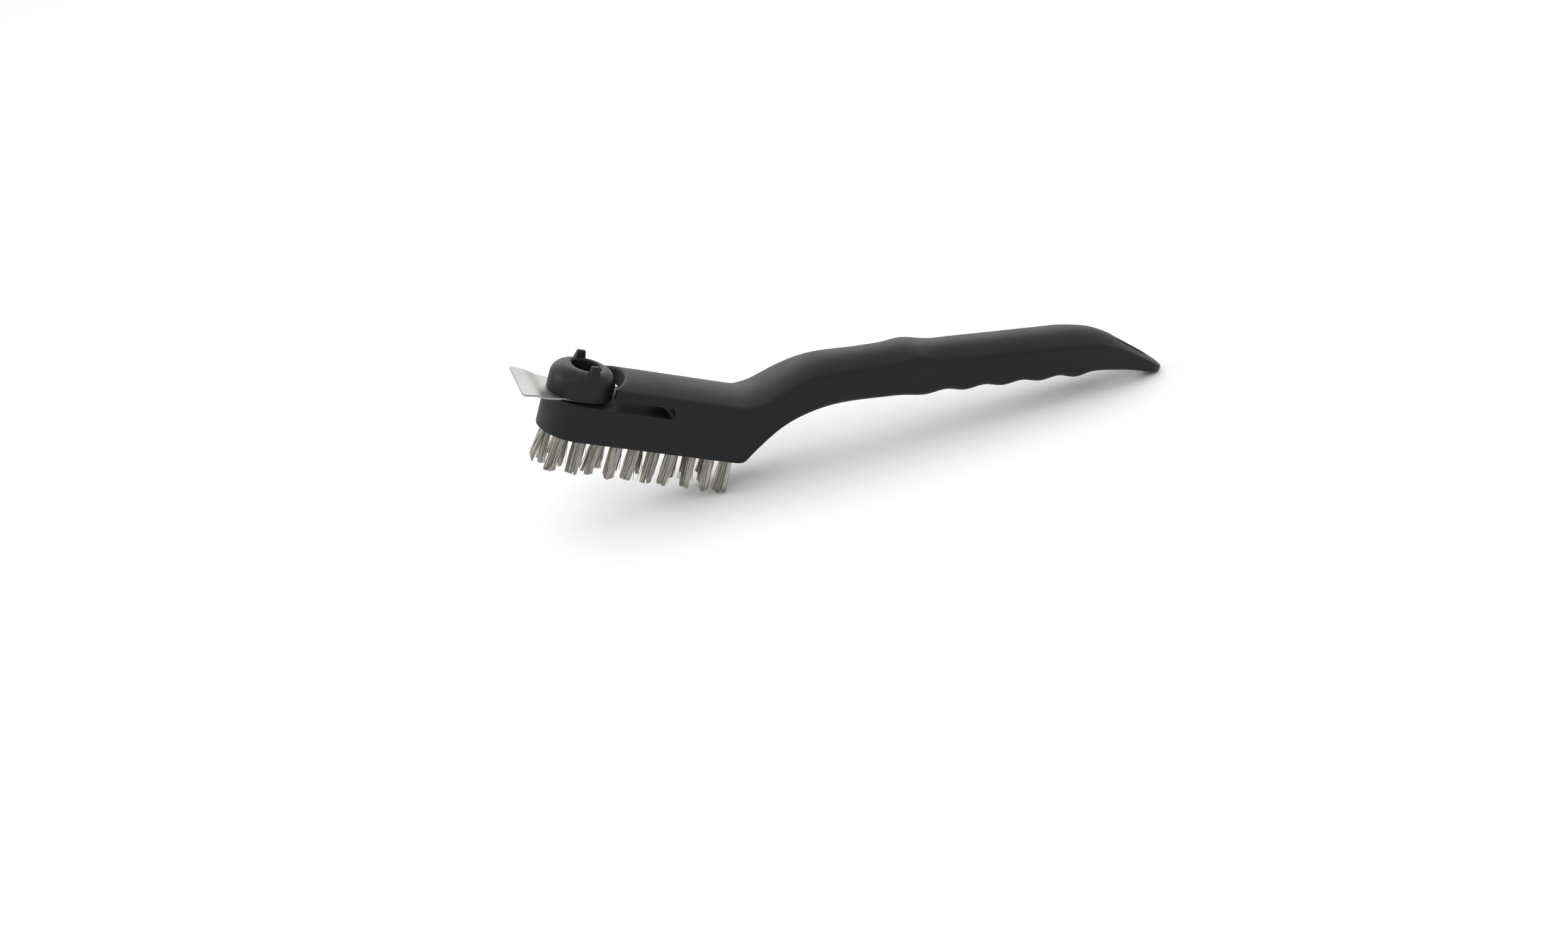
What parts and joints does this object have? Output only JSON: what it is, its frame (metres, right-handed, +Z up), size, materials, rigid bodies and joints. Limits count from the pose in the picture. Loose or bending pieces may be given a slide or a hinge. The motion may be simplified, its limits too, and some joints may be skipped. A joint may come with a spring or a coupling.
{
  "type": "grill cleaning brush",
  "caption": "Wire grill brush with a curved one-piece plastic handle and a swivelling steel scraper blade turned by a knob.",
  "frame": {"origin": "centre of the whole brush's box, on the surface that it rests on", "axes": "+Z up, +X towards the tail of the handle, the brush lying on its rear tufts and the end of its tail with the scraper raised"},
  "size_m": [0.3162, 0.0348, 0.0814],
  "materials": {
    "handle_plastic": "matte, fine moulded texture",
    "knob_plastic": "matte, slightly smoother than the handle",
    "stainless_sheet": "satin",
    "bristle_wire": "drawn wire",
    "screw_steel": "zinc plated",
    "washer_steel": "plain",
    "insert_brass": "turned",
    "washer_nylon": "natural nylon",
    "anchor_steel": "flat wire"
  },
  "bodies": {
    "handle": {"handle_body": "handle_plastic", "threaded_insert": "insert_brass", "friction_washer": "washer_nylon", "pivot_screw": "screw_steel", "screw_washer": "washer_steel", "wave_washer": "washer_steel", "tuft_anchors": "anchor_steel", "bristle_tuft_01": "bristle_wire", "bristle_tuft_02": "bristle_wire", "bristle_tuft_03": "bristle_wire", "bristle_tuft_04": "bristle_wire", "bristle_tuft_05": "bristle_wire", "bristle_tuft_06": "bristle_wire", "bristle_tuft_07": "bristle_wire", "bristle_tuft_08": "bristle_wire", "bristle_tuft_09": "bristle_wire", "bristle_tuft_10": "bristle_wire", "bristle_tuft_11": "bristle_wire", "bristle_tuft_12": "bristle_wire", "bristle_tuft_13": "bristle_wire", "bristle_tuft_14": "bristle_wire", "bristle_tuft_15": "bristle_wire", "bristle_tuft_16": "bristle_wire", "bristle_tuft_17": "bristle_wire", "bristle_tuft_18": "bristle_wire", "bristle_tuft_19": "bristle_wire", "bristle_tuft_20": "bristle_wire", "bristle_tuft_21": "bristle_wire", "bristle_tuft_22": "bristle_wire", "bristle_tuft_23": "bristle_wire", "bristle_tuft_24": "bristle_wire", "bristle_tuft_25": "bristle_wire", "bristle_tuft_26": "bristle_wire", "bristle_tuft_27": "bristle_wire", "bristle_tuft_28": "bristle_wire", "bristle_tuft_29": "bristle_wire"},
    "scraper": {"knob": "knob_plastic", "scraper_plate": "stainless_sheet"}
  },
  "joints": [
    {"name": "scraper_swing", "type": "hinge", "parent": "handle", "child": "scraper", "pos_m": [-0.12999, 0, 0.06517], "axis": [0.4029, 0, 0.9152], "range_deg": [0, 180]}
  ]
}
